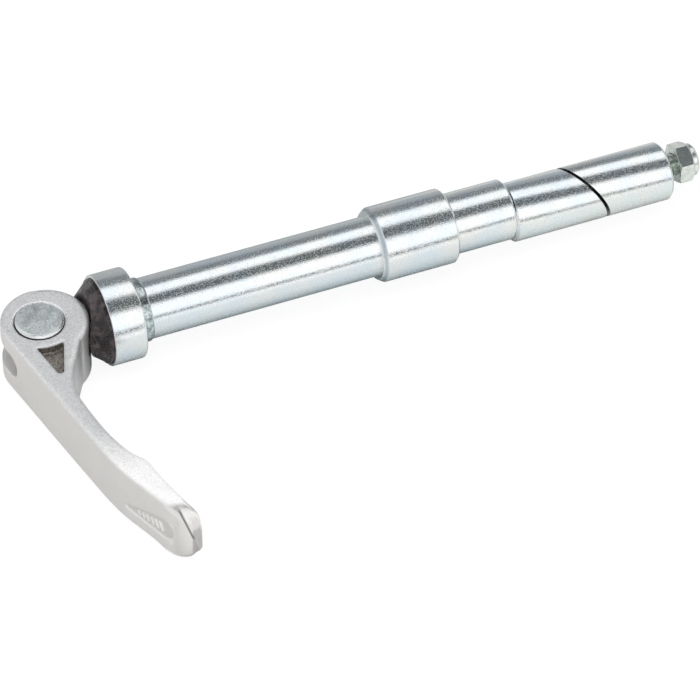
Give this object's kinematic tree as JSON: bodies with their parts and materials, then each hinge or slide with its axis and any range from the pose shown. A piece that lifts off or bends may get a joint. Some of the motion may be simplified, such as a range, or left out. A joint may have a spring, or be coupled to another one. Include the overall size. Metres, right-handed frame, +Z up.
{
  "type": "quick release axle",
  "caption": "Through axle with a cam lever, a stepped hollow sleeve and a split wedge end drawn tight by an inner rod and lock nut.",
  "frame": {"origin": "on the axle's centre line at the collar's bearing shoulder", "axes": "+X along the axle towards the lock nut, +Z up along the lever's pin, the closed lever lies towards -Y"},
  "size_m": [0.1934, 0.0873, 0.0245],
  "materials": {
    "zinc_steel": "bright zinc plate",
    "black_plastic": "glossy moulded",
    "rod_steel": "zinc plate",
    "pin_steel": "rough turned zinc plate",
    "cast_aluminium": "satin cast",
    "nut_steel": "bright zinc plate",
    "nylon": "natural nylon"
  },
  "bodies": {
    "sleeve": {"axle_sleeve": "zinc_steel"},
    "turning_head": {"cam_seat": "black_plastic", "inner_wedge": "zinc_steel"},
    "draw": {"draw_rod": "rod_steel", "pivot_pin": "pin_steel", "lock_nut": "nut_steel", "nut_insert": "nylon"},
    "lever": {"cam_lever": "cast_aluminium"},
    "split_end": {"outer_wedge": "zinc_steel"}
  },
  "joints": [
    {"name": "head_turn", "type": "hinge", "parent": "sleeve", "child": "turning_head", "pos_m": [0, 0, 0], "axis": [1, 0, 0], "continuous": true},
    {"name": "rod_slide", "type": "slide", "parent": "turning_head", "child": "draw", "axis": [-1, 0, 0], "range_m": [0, 0.0027]},
    {"name": "lever_pivot", "type": "hinge", "parent": "draw", "child": "lever", "pos_m": [-0.02475, 0, -0.00295], "axis": [0.0127, 0, -0.9999], "range_deg": [0, 180]},
    {"name": "wedge_shift", "type": "slide", "parent": "turning_head", "child": "split_end", "axis": [-0.5373, 0.678, 0.5017], "range_m": [0, 0.0014]}
  ]
}
